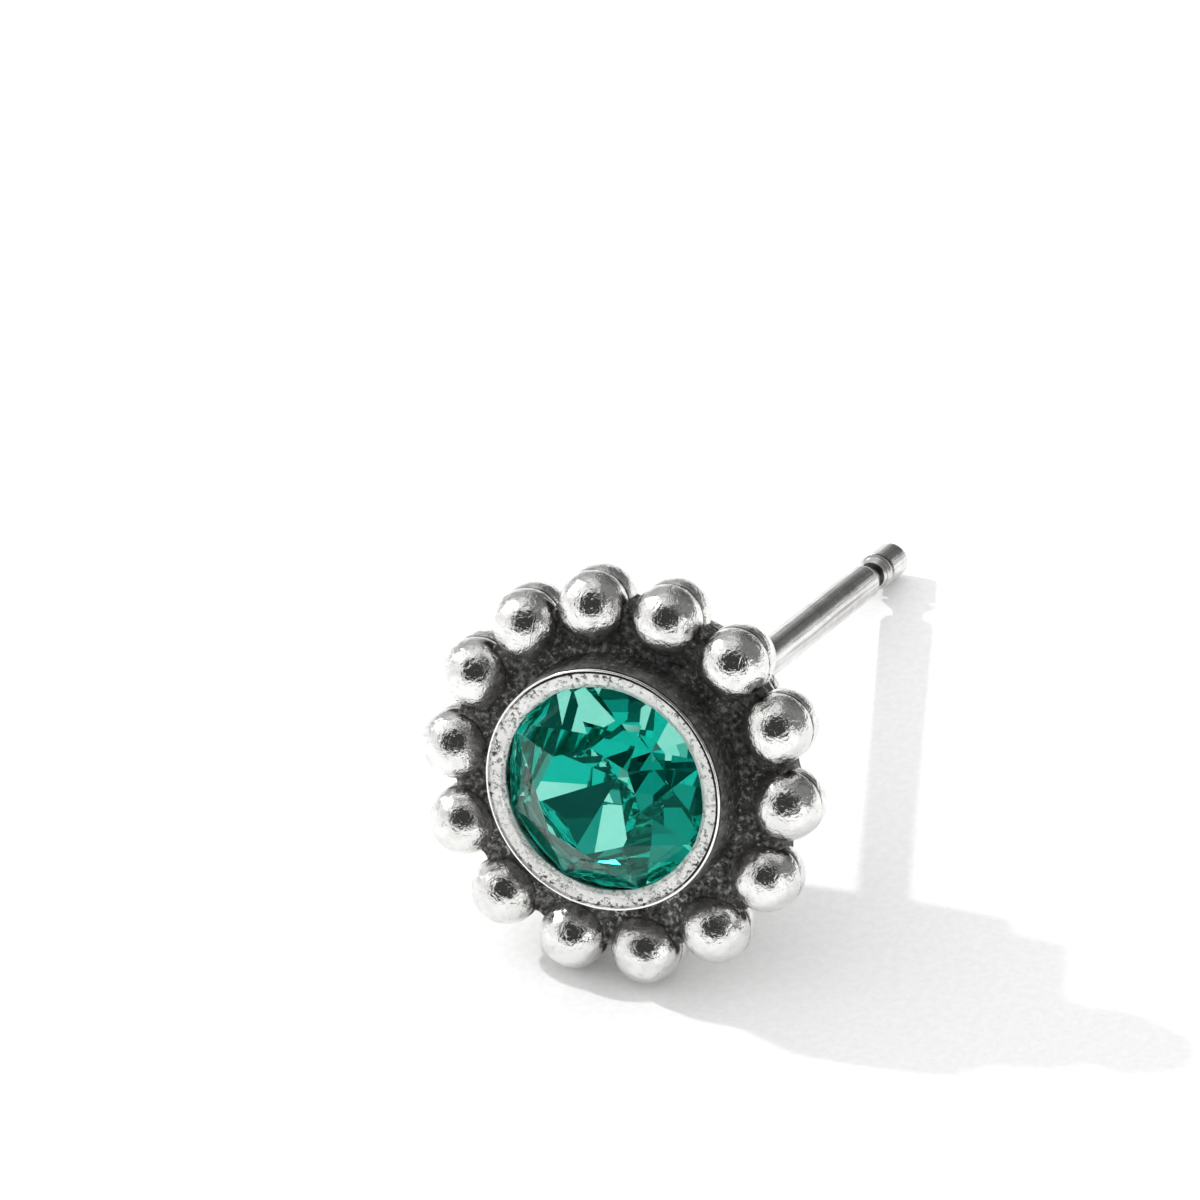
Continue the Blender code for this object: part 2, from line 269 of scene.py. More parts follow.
def add_piece(name, points, faces, smooth_below=35.0, values=None):
    """A mesh from upright points in millimetres, with poles merged and faces turned outwards."""
    mesh = bpy.data.meshes.new(name)
    mesh.from_pydata(laid_down(points).tolist(), [], faces.tolist())
    for title, numbers in (values or {}).items():
        layer = mesh.attributes.new(title, "FLOAT", "POINT")
        layer.data.foreach_set("value", np.asarray(numbers, np.float32).ravel())
    shape = bmesh.new()
    shape.from_mesh(mesh)
    bmesh.ops.remove_doubles(shape, verts=shape.verts, dist=1e-8)
    bmesh.ops.dissolve_degenerate(shape, edges=shape.edges, dist=1e-9)
    bmesh.ops.recalc_face_normals(shape, faces=shape.faces)
    shape.to_mesh(mesh)
    open_edges = sum(edge.is_boundary for edge in shape.edges)
    shape.free()
    if smooth_below:
        mesh.shade_smooth()
        mesh.set_sharp_from_angle(angle=math.radians(smooth_below))
    made = bpy.data.objects.new(name, mesh)
    bpy.context.scene.collection.objects.link(made)
    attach(made, "root")
    print(name, len(mesh.polygons), "faces,", open_edges, "open edges")
    return made


def turned_piece(name, corners, columns, step, push, steps=5, ring=False):
    """A turned piece from the corners of its profile; a ring's profile closes on itself."""
    profile = denser(rounded(corners, steps), step)
    grid = turned_grid(profile, columns, push)
    return add_piece(name, grid.reshape(-1, 3), grid_faces(len(profile), columns, ring=ring))


print("a ring of 3 rows and 4 columns has", len(grid_faces(3, 4, ring=True)), "faces")

# %% [markdown]
# ## The beads
# In a casting no bead sits quite where it should, so each of the fourteen gets its own small
# shift outwards and sideways, and its own length. The earring lies on the first and the last,
# which hardly move outwards. Seen from the face, the first is the lower right one of the two,
# and the others follow anticlockwise.

# %% Where the fourteen beads stand
OUTWARD_SHIFTS = (
    -0.02, -0.07, -0.09, -0.09, -0.01, -0.05, -0.12, -0.12, -0.10, -0.08, -0.08, 0.05, 0.10, 0.00,
)
SIDEWAY_SHIFTS = (
    -0.08, -0.04, 0.02, 0.07, 0.05, -0.02, -0.01, 0.01, -0.02, -0.01, 0.02, 0.00, -0.02, -0.01,
)
BEAD_LENGTHS = (0.50, 0.20, 0.14, 0.18, 0.30, 0.32, 0.44, 0.48, 0.50, 0.50, 0.50, 0.50, 0.50, 0.50)
bead_angles = (np.arange(BEAD_COUNT) + 0.5) * 2 * math.pi / BEAD_COUNT - math.pi / 2
pitch = BEAD_PITCH + np.array(OUTWARD_SHIFTS)
sideways = np.array(SIDEWAY_SHIFTS)
bead_middles = np.stack([
    pitch * np.cos(bead_angles) - sideways * np.sin(bead_angles),
    pitch * np.sin(bead_angles) + sideways * np.cos(bead_angles),
    np.full(BEAD_COUNT, FRONT_BALL),
], -1)
bead_length = np.array(BEAD_LENGTHS)[:, None, None]
print("the beads stand", pitch.min().round(2), "to", pitch.max().round(2), "mm from the axis")

# %% [markdown]
# Each bead is cast as two balls run together, one behind the other, with a fine crease between them. A ball's
# surface is its centre plus the radius times a direction given by two angles. The arc towards the crease
# stops where the two balls meet, at the angle whose sine is half their distance over the radius. The fourteen
# beads are one more axis of the same array. A slow unevenness of a few thousandths of a millimetre breaks up
# the reflections, as hand polishing does. The crease and the foot of each bead are kept as an attribute for
# the black: in the crease it is tarnish, and at the foot, where the bead meets the plate, it is tarnish and
# painted shade.

# %% Fourteen beads in one mesh
BEAD_ROWS = 28
BEAD_COLUMNS = 64
CREASE_DEPTH = 0.022
CREASE_WIDTH = 0.028
CREASE_STAIN = 0.030
FOOT_OXIDE_AND_SHADE_REACH = 0.20
BEAD_UNEVENNESS = 0.0055
crease_at = math.pi / 2 + np.arcsin(bead_length / 2 / BEAD_RADIUS)
share = np.linspace(0, 1, BEAD_ROWS)[None, :, None]
arcs = np.concatenate([share * crease_at, math.pi - crease_at + share * crease_at], axis=1)
balls = np.concatenate([0 * share * crease_at, 0 * share * crease_at - bead_length], axis=1)
from_crease = np.abs(balls + bead_length / 2 + BEAD_RADIUS * np.cos(arcs))
around = np.linspace(0, 2 * math.pi, BEAD_COLUMNS, endpoint=False)
ball_ways = (np.sin(arcs) * np.cos(around), np.sin(arcs) * np.sin(around), np.cos(arcs))
away = np.stack(np.broadcast_arrays(*ball_ways), -1)
away[:, [0, -1], :, :2] = 0
ball_centres = bead_middles[:, None, None] + balls[..., None] * np.array([0, 0, 1.0])
bead_points = ball_centres + BEAD_RADIUS * away
crease_here = np.exp(-((from_crease / CREASE_WIDTH) ** 2)) * (0.6 + 0.5 * unevenness(bead_points, 0.5, 8))
waves = unevenness(bead_points, 0.80, 5) + 0.32 * unevenness(bead_points, 0.26, 6)
bead_points = bead_points + away * (BEAD_UNEVENNESS * waves - CREASE_DEPTH * crease_here)[..., None]
crease_mask = np.exp(-((from_crease / CREASE_STAIN) ** 2)) * (0.75 + 0.5 * unevenness(bead_points, 0.45, 9))
height_over_plate = bead_points[..., 2] - PLATE_FRONT
to_axis = np.linalg.norm(bead_points[..., :2], axis=-1)
# Painted shade as well as tarnish: each bead is blackened where it meets the plate.
near_plate = np.clip(1.1 - np.abs(height_over_plate) / FOOT_OXIDE_AND_SHADE_REACH, 0, 1)
near_plate *= np.clip((PLATE_RADIUS + 0.05 - to_axis) / 0.2, 0, 1)
recess = np.clip(np.maximum(crease_mask, near_plate), 0, 1)
first_points = np.arange(BEAD_COUNT) * 2 * BEAD_ROWS * BEAD_COLUMNS
bead_faces = grid_faces(2 * BEAD_ROWS, BEAD_COLUMNS)[None] + first_points[:, None, None]
beads = add_piece("beads", bead_points.reshape(-1, 3), bead_faces.reshape(-1, 4), 60, {"recess": recess})

# %% [markdown]
# ## The blackened plate
# The plate is a flat ring whose edge dips between the beads. Solder has crept up at the foot of
# each bead, so its front face is a height field over (radius, angle): the height falls away
# exponentially with the distance from the nearest bead and from the bezel's foot. A file and a
# brush have left it slightly uneven.

# %% A ring with solder fillets
PLATE_COLUMNS = 336
SOLDER_HEIGHT = 0.10
SOLDER_SPREAD = 0.07
EDGE_DIP = 0.28
plate_profile = denser(rounded([
    (STEM_RADIUS + 0.03, PLATE_FRONT, 0),
    (PLATE_RADIUS, PLATE_FRONT, 0.07),
    (PLATE_RADIUS, PLATE_REAR, 0.07),
    (STEM_RADIUS + 0.03, PLATE_REAR, 0),
]), 0.05)


def solder_and_file(points):
    """Solder height by the distance to the nearest bead and to the bezel, plus the file's marks."""
    gap = np.linalg.norm(points[..., None, :2] - bead_middles[:, :2], axis=-1).min(axis=-1) - BEAD_RADIUS
    foot = np.linalg.norm(points[..., :2], axis=-1) - BEZEL_FOOT_RADIUS
    solder = SOLDER_HEIGHT * np.exp(-np.clip(gap, 0, None) / SOLDER_SPREAD)
    solder += 0.5 * SOLDER_HEIGHT * np.exp(-np.clip(foot, 0, None) / SOLDER_SPREAD)
    return solder + 0.006 * unevenness(points, 0.5, 11)


plate_grid = turned_grid(plate_profile, PLATE_COLUMNS)
plate_angle = np.arctan2(plate_grid[..., 1], plate_grid[..., 0])
plate_reach = np.linalg.norm(plate_grid[..., :2], axis=-1)
between_beads = 0.5 + 0.5 * np.cos(BEAD_COUNT * (plate_angle + math.pi / 2))
at_edge = np.clip((plate_reach - BEZEL_FOOT_RADIUS) / (PLATE_RADIUS - BEZEL_FOOT_RADIUS), 0, 1)
plate_grid[..., :2] *= (1 - EDGE_DIP / PLATE_RADIUS * between_beads * at_edge**3)[..., None]
at_front = np.clip((plate_grid[..., 2] - PLATE_REAR - 0.4) / 0.3, 0, 1)
inside = np.clip((PLATE_RADIUS - plate_reach) / 0.12, 0.25, 1)
plate_grid[..., 2] += at_front * inside * solder_and_file(plate_grid)
plate_faces = grid_faces(len(plate_profile), PLATE_COLUMNS, ring=True)
plate = add_piece("plate", plate_grid.reshape(-1, 3), plate_faces)

# %% [markdown]
# ## The bezel
# The cup's wall is blackened like the plate, while its rim has been rubbed bright: a thin
# burnished edge, a fine groove, then a satin ring that slopes to the stone. They are one piece of
# metal with two finishes, made here as two closed turned pieces that share an edge. The lip was
# pushed over the stone by hand, so its mouth wanders by a hundredth of a millimetre or two.

# %% The rim
BEZEL_COLUMNS = 240
RIM_DEPTH = 0.10
rim_corners = [
    (BEZEL_RADIUS, BEZEL_TOP - RIM_DEPTH, 0),
    (BEZEL_RADIUS - 0.004, BEZEL_TOP, 0.025),
    (BEZEL_RADIUS - 0.048, BEZEL_TOP + 0.002, 0.010),
    (BEZEL_RADIUS - 0.070, BEZEL_TOP - 0.050, 0.010),
    (BEZEL_RADIUS - 0.110, BEZEL_TOP - 0.020, 0.020),
    (MOUTH_RADIUS + 0.10, BEZEL_TOP - 0.035, 0.050),
    (MOUTH_RADIUS, BEZEL_TOP - 0.085, 0.030),
    (MOUTH_RADIUS, BEZEL_TOP - 0.125, 0.010),
    (CUP_RADIUS, BEZEL_TOP - 0.200, 0),
    (CUP_RADIUS, BEZEL_TOP - 0.560, 0),
    (BEZEL_RADIUS - 0.12, BEZEL_TOP - 0.560, 0),
    (BEZEL_RADIUS - 0.12, BEZEL_TOP - RIM_DEPTH, 0),
]


def burnished(points):
    """The hand-pushed lip: an unevenness that is strongest at the mouth and fades towards the outer edge."""
    radius = np.linalg.norm(points[..., :2], axis=-1)
    at_mouth = np.clip((BEZEL_RADIUS - 0.1 - radius) / 0.3, 0, 1)
    return 0.0035 * unevenness(points, 0.7, 21) + at_mouth * 0.014 * unevenness(points, 0.9, 22)


rim = turned_piece("rim", rim_corners, BEZEL_COLUMNS, 0.025, burnished, ring=True)

# %% [markdown]
# The wall goes down from the rim's outer edge to a small fillet on the plate, then inwards and
# down as the hidden stem, and closes round the seat that the stone lies over.

# %% The wall
wall_corners = [
    (BEZEL_RADIUS - 0.13, BEZEL_TOP - RIM_DEPTH - 0.004, 0),
    (BEZEL_RADIUS, BEZEL_TOP - RIM_DEPTH - 0.004, 0.004),
    (BEZEL_FOOT_RADIUS - 0.02, PLATE_FRONT + 0.14, 0.2),
    (BEZEL_FOOT_RADIUS + 0.02, PLATE_FRONT - 0.02, 0),
    (STEM_RADIUS, PLATE_FRONT - 0.02, 0),
    (STEM_RADIUS, STEM_BOTTOM, 0.05),
    (0, STEM_BOTTOM, 0),
    (0, STEM_BOTTOM + 0.28, 0),
    (CUP_RADIUS - 0.02, BEZEL_TOP - 0.65, 0),
    (CUP_RADIUS + 0.01, BEZEL_TOP - 0.45, 0),
    (BEZEL_RADIUS - 0.13, BEZEL_TOP - 0.45, 0),
]
wall_dents = dents(0.004, 0.6, 23)
wall = turned_piece("wall", wall_corners, BEZEL_COLUMNS, 0.06, wall_dents, ring=True)

# %% [markdown]
# ## The stone
# The stone is cut with flat facets: an eight-sided table, sixteen triangles down to the girdle,
# and below it eight long faces that run to a point. On a grid of rings and sixteen angles every
# facet is made of whole cells, so the corners are seven rows of one array. The angles with even
# numbers carry the table's corners, and the odd ones the crown's feet. The quads are split into
# triangles along the real edges, and are shaded flat. The narrow skirt that the lip hides is
# foiled like the back, or the dark gap under the lip would show again and again inside.

# %% Facets as rows of a grid
SKIRT_RADIUS = 2.315
odd = np.arange(2 * MAIN_FACETS) % 2
facet_angles = np.arange(2 * MAIN_FACETS) * half_facet
girdle_low = GIRDLE_TOP - scallop - 0.08
culet = girdle_low - STONE_PAVILION
pavilion_slope = STONE_PAVILION / STONE_RADIUS
table_height = GIRDLE_TOP + STONE_CROWN
chord = math.cos(half_facet)
skirt_high = table_height - main_slope * (SKIRT_RADIUS * chord - STONE_TABLE)
skirt_low = table_height - main_slope * (SKIRT_RADIUS - STONE_TABLE)
stone_radii = [
    0 * odd,
    np.where(odd, STONE_TABLE * chord, STONE_TABLE),
    0 * odd + SKIRT_RADIUS,
    0 * odd + STONE_RADIUS,
    np.where(odd, STONE_RADIUS, STONE_RADIUS * chord),
    np.where(odd, STONE_LOWER, STONE_LOWER * chord),
    0 * odd,
]
stone_heights = [
    0 * odd + table_height,
    0 * odd + table_height,
    np.where(odd, skirt_high, skirt_low),
    np.where(odd, skirt_high, skirt_low) - 0.06,
    0 * odd + girdle_low,
    0 * odd + culet + pavilion_slope * STONE_LOWER * chord,
    0 * odd + culet,
]
stone_radii, stone_heights = np.array(stone_radii), np.array(stone_heights)
stone_x, stone_y = stone_radii * np.cos(facet_angles), stone_radii * np.sin(facet_angles)
stone_grid = np.stack([stone_x, stone_y, stone_heights], -1)
print("table at", round(table_height, 3), "culet at", round(culet, 3))

# %% [markdown]
# Each cell of that grid is cut into two triangles, and the cut has to run along a real edge of
# the stone. On the crown the even cells are cut one way and the odd ones the other, and below
# the girdle it is the other way about.

# %% Triangles along the real edges
quads = grid_faces(7, 2 * MAIN_FACETS)
starts_even = (np.arange(len(quads)) % (2 * MAIN_FACETS)) % 2 == 0
cut_one = np.concatenate([quads[:, [0, 1, 2]], quads[:, [0, 2, 3]]])
cut_two = np.concatenate([quads[:, [0, 1, 3]], quads[:, [1, 2, 3]]])
stone_row = np.tile(np.arange(len(quads)) // (2 * MAIN_FACETS), 2)
first_cut = np.tile(starts_even, 2) ^ (stone_row >= 4)
stone_triangles = np.where(first_cut[:, None], cut_one, cut_two)
stone = add_piece("stone", stone_grid.reshape(-1, 3), stone_triangles, 0)

# %% [markdown]
# ## The drum, its boss and the post
# These are turned on a lathe, so a profile carried round the axis is exactly how they are made.
# The groove near the drum's rear is a real dip in the profile, and every edge has a small radius
# that catches a line of light.

# %% The drum and its boss
DRUM_COLUMNS = 192
SOCKET = POST_RADIUS + 0.01
drum_corners = [
    (0, 1.0, 0),
    (DRUM_RADIUS - 0.40, 1.0, 0.05),
    (DRUM_RADIUS - 0.40, DRUM_FRONT, 0.02),
    (DRUM_RADIUS, DRUM_FRONT, 0.05),
    (DRUM_RADIUS, 0.370, 0.020),
    (DRUM_RADIUS - 0.060, 0.345, 0.015),
    (DRUM_RADIUS - 0.060, 0.300, 0.015),
    (DRUM_RADIUS, 0.275, 0.020),
    (DRUM_RADIUS, 0, 0.09),
    (BOSS_RADIUS, 0, 0.03),
    (BOSS_RADIUS, BOSS_REAR, 0.11),
    (SOCKET + 0.10, BOSS_REAR, 0.04),
    (SOCKET, BOSS_REAR - 0.05, 0.02),
    (SOCKET, BOSS_REAR + 0.2, 0),
    (SOCKET, 0.62, 0),
    (0, 0.62, 0),
]
drum = turned_piece("drum", drum_corners, DRUM_COLUMNS, 0.08, dents(0.003, 1.6, 31), 6)

# %% [markdown]
# The post is drawn wire with a head and a notch that a clutch snaps on to. A fine groove and a
# little burr stand at the ring behind the head.

# %% The post
POST_COLUMNS = 64
NECK = 0.23
wire_corners = [
    (0, POST_ROOT, 0),
    (POST_RADIUS, POST_ROOT, 0.03),
    (POST_RADIUS, POST_TIP + 1.81, 0.10),
    (NECK + 0.10, POST_TIP + 1.60, 0.06),
    (NECK, POST_TIP + 1.56, 0.05),
    (NECK, POST_TIP + 1.35, 0.06),
    (POST_RADIUS - 0.01, POST_TIP + 1.08, 0.04),
    (POST_RADIUS + 0.008, POST_TIP + 1.03, 0.012),
    (POST_RADIUS + 0.004, POST_TIP + 0.98, 0.012),
    (POST_RADIUS - 0.09, POST_TIP + 0.95, 0.015),
    (POST_RADIUS - 0.09, POST_TIP + 0.89, 0.015),
    (POST_RADIUS + 0.003, POST_TIP + 0.86, 0.015),
    (POST_RADIUS, POST_TIP + 0.60, 0),
    (POST_RADIUS, POST_TIP, 0.09),
    (0, POST_TIP, 0),
]


def drawn_waves(points):
    """The wire's unevenness: slow waves, drawn out threefold along it."""
    return 0.0022 * unevenness(points * [1, 1, 0.35], 0.45, 41)


wire = turned_piece("wire", wire_corners, POST_COLUMNS, 0.07, drawn_waves, 6)

# %% [markdown]
# ## Finishes
# Every finish starts from the same coordinates: Object coordinates turned back upright and
# counted in millimetres by one Mapping node, so that grain sizes are real sizes. Effects that
# several metals share are node groups with named inputs and outputs. They give masks, colours
# and heights, and each material keeps its own shader. The nodes could be wired by hand in the
# editor. Here a few helpers place them, and each gives back the socket that goes on.

# %% Helpers that place and feed nodes
def new_group(name, inputs, outputs):
    """An empty shader node group with these sockets, and its input and output nodes."""
    group = bpy.data.node_groups.new(name, "ShaderNodeTree")
    for title, kind, value in inputs:
        socket = group.interface.new_socket(name=title, in_out="INPUT", socket_type=kind)
        if value is not None:
            socket.default_value = value
    for title, kind in outputs:
        group.interface.new_socket(name=title, in_out="OUTPUT", socket_type=kind)
    return group, group.nodes.new("NodeGroupInput"), group.nodes.new("NodeGroupOutput")


def plug(value, socket):
    """Links an output to a socket, or sets the socket's own value; a colour of three gets its alpha."""
    if hasattr(value, "is_output"):
        socket.id_data.links.new(value, socket)
    elif socket.type == "RGBA" and len(value) == 3:
        socket.default_value = (*value, 1.0)
    else:
        socket.default_value = value


def feed(node, **values):
    """Plugs values into a node's inputs by name, with underscores for spaces, and returns the node."""
    for title, value in values.items():
        plug(value, node.inputs[title.replace("_", " ")])
    return node


def beside(kind, *values, **settings):
    """A new node with these settings, in the tree of the first socket among the values."""
    tree = next(value.id_data for value in values if hasattr(value, "is_output"))
    node = tree.nodes.new(kind)
    for title, setting in settings.items():
        setattr(node, title, setting)
    return node


print("helpers ready:", new_group.__name__, plug.__name__, feed.__name__, beside.__name__)

# %% [markdown]
# Most of a finish is noise, cut to a range and mixed. A mask of a band, such as a groove, is a
# rise times a fall.

# %% Helpers for noise, ranges and mixes
def noise(vector, scale, detail=3.0, roughness=0.55, distortion=0.0):
    """A noise texture's value output, about 0 to 1."""
    node = beside("ShaderNodeTexNoise", vector)
    feed(node, Vector=vector, Scale=scale, Detail=detail, Roughness=roughness, Distortion=distortion)
    return node.outputs["Fac"]


def remap(value, low, high, to_low=0.0, to_high=1.0, smooth=True):
    """The value's stretch from low to high carried to to_low .. to_high and held beyond it."""
    node = beside("ShaderNodeMapRange", value, interpolation_type="SMOOTHSTEP" if smooth else "LINEAR")
    feed(node, Value=value, From_Min=low, From_Max=high, To_Min=to_low, To_Max=to_high)
    return node.outputs["Result"]


def maths(operation, first, second):
    """One Math node on sockets or plain values."""
    node = beside("ShaderNodeMath", first, second, operation=operation)
    plug(first, node.inputs[0])
    plug(second, node.inputs[1])
    return node.outputs[0]


times, plus = partial(maths, "MULTIPLY"), partial(maths, "ADD")
minus, larger = partial(maths, "SUBTRACT"), partial(maths, "MAXIMUM")


def band(value, start, full, fade, end, top=1.0):
    """A mask of a band: 0 up to start, top from full to fade, and 0 again from end on."""
    return times(remap(value, start, full), remap(value, end, fade, 0.0, top))


def mixed(share, first, second, blend="MIX", kind="RGBA"):
    """One mix of sockets or plain values: of colours, or of numbers where kind is FLOAT."""
    node = beside("ShaderNodeMix", share, first, second, data_type=kind, blend_type=blend)
    return feed(node, Factor=share, A=first, B=second).outputs["Result"]


def stretched(vector, scale):
    """The vector scaled along each axis, to draw a pattern out in one direction."""
    node = beside("ShaderNodeVectorMath", vector, operation="MULTIPLY")
    plug(vector, node.inputs[0])
    plug(scale, node.inputs[1])
    return node.outputs[0]


def radius_of(vector):
    """The distance from the earring's axis: the length of (x, y, 0)."""
    node = beside("ShaderNodeVectorMath", vector, operation="LENGTH")
    plug(stretched(vector, (1.0, 1.0, 0.0)), node.inputs[0])
    return node.outputs["Value"]


def parts_of(vector):
    """The vector's X, Y and Z outputs."""
    return feed(beside("ShaderNodeSeparateXYZ", vector), Vector=vector).outputs


print("helpers ready:", noise.__name__, remap.__name__, band.__name__, mixed.__name__)

# %% [markdown]
# **Polishing marks.** A polished surface is never even: there are cloudy patches where the wax
# stayed, hair lines that the brush left, and a faint crinkle that breaks the edges of every
# reflection. Noise squeezed into threads gives the hair lines.

# %% The polishing marks group
VECTOR, FLOAT, COLOUR = "NodeSocketVector", "NodeSocketFloat", "NodeSocketColor"
polish, polish_in, polish_out = new_group(
    "polishing_marks",
    [
        ("Vector", VECTOR, None), ("Cloud Scale", FLOAT, 2.0), ("Hair Scale", FLOAT, 14.0),
        ("Hair Amount", FLOAT, 0.5), ("Crinkle Scale", FLOAT, 10.0), ("Crinkle Amount", FLOAT, 0.6),
    ],
    [("Clouds", FLOAT), ("Hairs", FLOAT), ("Height", FLOAT)],
)
place, cloud_scale, hair_scale, hair_amount, crinkle_scale, crinkle_amount = polish_in.outputs[:6]
clouds = remap(noise(place, cloud_scale, 4.0, 0.6, 0.4), 0.38, 0.66)
thread_one = noise(stretched(place, (1.0, 0.12, 0.5)), hair_scale, 2.0, 0.5, 0.6)
thread_two = noise(stretched(place, (0.15, 0.6, 1.0)), hair_scale, 2.0, 0.5, 0.6)
threads = larger(remap(thread_one, 0.60, 0.70), remap(thread_two, 0.61, 0.71))
hairs = times(threads, hair_amount)
crinkle = times(noise(place, crinkle_scale, 3.0, 0.6, 0.5), crinkle_amount)
crinkled = plus(crinkle, times(clouds, 0.3))
feed(polish_out, Clouds=clouds, Hairs=hairs, Height=minus(crinkled, times(hairs, 0.4)))
print("group", polish.name, "has", len(polish.nodes), "nodes")

# %% [markdown]
# **Grain.** Cast and brushed metal shows a fine stipple of pits and bright grains. Two noises of
# different size are multiplied, so that the pits come in loose crowds and not evenly.

# %% The metal grain group
grain, grain_in, grain_out = new_group(
    "metal_grain",
    [("Vector", VECTOR, None), ("Grain Scale", FLOAT, 12.0), ("Patch Scale", FLOAT, 1.5)],
    [("Pits", FLOAT), ("Bright Grains", FLOAT), ("Height", FLOAT)],
)
place, grain_scale, patch_scale = grain_in.outputs[:3]
fine = noise(place, grain_scale, 4.0, 0.7)
patches = noise(place, patch_scale, 2.0, 0.5)
pits = times(remap(fine, 0.48, 0.37), remap(patches, 0.35, 0.62, 0.35, 1.0))
bright = times(remap(fine, 0.52, 0.63), remap(patches, 0.60, 0.35, 0.4, 1.0))
feed(grain_out, Pits=pits, Bright_Grains=bright, Height=minus(fine, times(pits, 0.6)))
print("group", grain.name, "has", len(grain.nodes), "nodes")

# %% [markdown]
# ** Tarnish and painted shade.** Silver is blackened all over and then rubbed bright, so black stays in the places that the cloth can't reach, with a brownish ragged border. The same black also paints shade: at the beads' foot and in the rim's groove. The place is a mask from outside: an attribute worked out with the shape, or a height along the axis. Noise makes its border ragged.

# %% The tarnish and painted shade group
BROWNISH = (0.42, 0.40, 0.37)
tarnish_and_shade, tarnish_and_shade_in, tarnish_and_shade_out = new_group(
    "tarnish_and_shade",
    [
        ("Vector", VECTOR, None), ("Recess", FLOAT, 0.0),
        ("Clean Colour", COLOUR, (0.9, 0.9, 0.88, 1)), ("Black Colour", COLOUR, (0.03, 0.03, 0.03, 1)),
    ],
    [("Colour", COLOUR), ("Mask", FLOAT)],
)
place, recess_mask, clean_colour, black_colour = tarnish_and_shade_in.outputs[:4]
ragged = noise(place, 7.0, 4.0, 0.7)
ragged_recess = plus(recess_mask, times(minus(ragged, 0.5), 0.9))
black_mask = remap(ragged_recess, 0.35, 0.75)
edge_mask = remap(ragged_recess, 0.15, 0.45)
warmed = mixed(times(edge_mask, 0.55), clean_colour, BROWNISH)
feed(tarnish_and_shade_out, Colour=mixed(black_mask, warmed, black_colour), Mask=black_mask)
print("group", tarnish_and_shade.name, "has", len(tarnish_and_shade.nodes), "nodes")

# %% [markdown]
# **Starting a material.** The upright coordinates undo how the earring lies: a shift by its home
# and a turn by its dip. Every material gets them in the same way, so they are one function.

# %% Starting a material
def new_finish(name):
    """A material, its Principled shader, and upright millimetre coordinates from one Mapping node."""
    made = bpy.data.materials.new(name)
    made.use_nodes = True
    nodes = made.node_tree.nodes
    upright = feed(
        nodes.new("ShaderNodeMapping"),
        Vector=nodes.new("ShaderNodeTexCoord").outputs["Object"],
        Scale=(1 / MM, 1 / MM, 1 / MM),
        Rotation=(DIP - math.pi / 2, 0, 0),
        Location=tuple(-(AXES @ HOME) / MM),
    )
    return made, nodes["Principled BSDF"], upright.outputs["Vector"]


def use_group(group, vector, **values):
    """The outputs of a node group, placed beside these coordinates and fed with these values."""
    return feed(beside("ShaderNodeGroup", vector, node_tree=group), Vector=vector, **values).outputs


def bump(shader, height, strength, distance):
    """Feeds the shader's normal from this height by a Bump node, whose distance is in millimetres."""
    node = feed(beside("ShaderNodeBump", height), Strength=strength, Distance=distance * MM, Height=height)
    feed(shader, Normal=node.outputs["Normal"])


def point_values(vector, name):
    """The values that a mesh keeps for its points under this name."""
    return beside("ShaderNodeAttribute", vector, attribute_name=name).outputs["Fac"]


print("upright coordinates are shifted by", (-(AXES @ HOME) / MM).round(2), "mm")

# %% [markdown]
# ** Polished silver** for the beads and the drum. Metallic is 1 all over, and everything that makes it look worn is in its colour, roughness and bump: the clouds dull it, the hair lines scratch it, and tarnish lies in the crease. Where a bead meets the plate the black is tarnish and painted shade.

# %% Polished silver
SILVER = (0.84, 0.835, 0.82)
DULL_SILVER = (0.60, 0.595, 0.58)
SPOT_GREY = (0.34, 0.33, 0.31)
CREASE_BLACK = (0.035, 0.034, 0.032)


def polished_silver(name, recess_of):
    """The beads' and the drum's finish; recess_of gives the mask of tarnish, on the beads with painted shade
    at their foot, from the coordinates.
    """
    made, shader, vector = new_finish(name)
    marks = use_group(
        polish, vector,
        Cloud_Scale=2.2, Hair_Scale=5.0, Hair_Amount=0.5, Crinkle_Scale=8.0, Crinkle_Amount=1.0,
    )
    spots = remap(noise(vector, 7.0, 4.0, 0.65, 0.5), 0.58, 0.72)
    dulled = mixed(times(marks["Clouds"], 0.5), SILVER, DULL_SILVER)
    spotted = mixed(times(spots, 0.5), dulled, SPOT_GREY)
    darkened = use_group(
        tarnish_and_shade, vector, Recess=recess_of(vector), Clean_Colour=spotted, Black_Colour=CREASE_BLACK
    )
    gloss = plus(remap(marks["Clouds"], 0.0, 1.0, 0.07, 0.17), times(marks["Hairs"], 0.14))
    gloss = plus(gloss, times(darkened["Mask"], 0.25))
    feed(shader, Base_Color=darkened["Colour"], Metallic=1.0, Roughness=gloss)
    bump(shader, marks["Height"], 1.0, 0.022)
    return made


bead_silver = polished_silver("polished_silver_beads", lambda vector: point_values(vector, "recess"))
print("material", bead_silver.name)

# %% [markdown]
# On the drum the recess is the groove, the corner behind the beads and the foot of the boss.
# They are heights along the axis, and the last one is also limited by the distance from the
# axis, or the drum's whole rear face would turn black.

# %% Drum silver
def groove_mask(vector):
    """1 in the drum's groove, at the boss's foot and close to the plate, by height and radius."""
    height = parts_of(vector)["Z"]
    groove = band(height, 0.270, 0.300, 0.345, 0.375)
    near_boss = remap(radius_of(vector), BOSS_RADIUS + 0.16, BOSS_RADIUS + 0.02)
    boss_foot = times(band(height, -0.10, 0.0, 0.005, 0.02), near_boss)
    at_plate = remap(height, DRUM_FRONT - 0.22, DRUM_FRONT - 0.02)
    return larger(larger(groove, boss_foot), at_plate)


drum_silver = polished_silver("polished_silver_drum", groove_mask)
print("material", drum_silver.name)
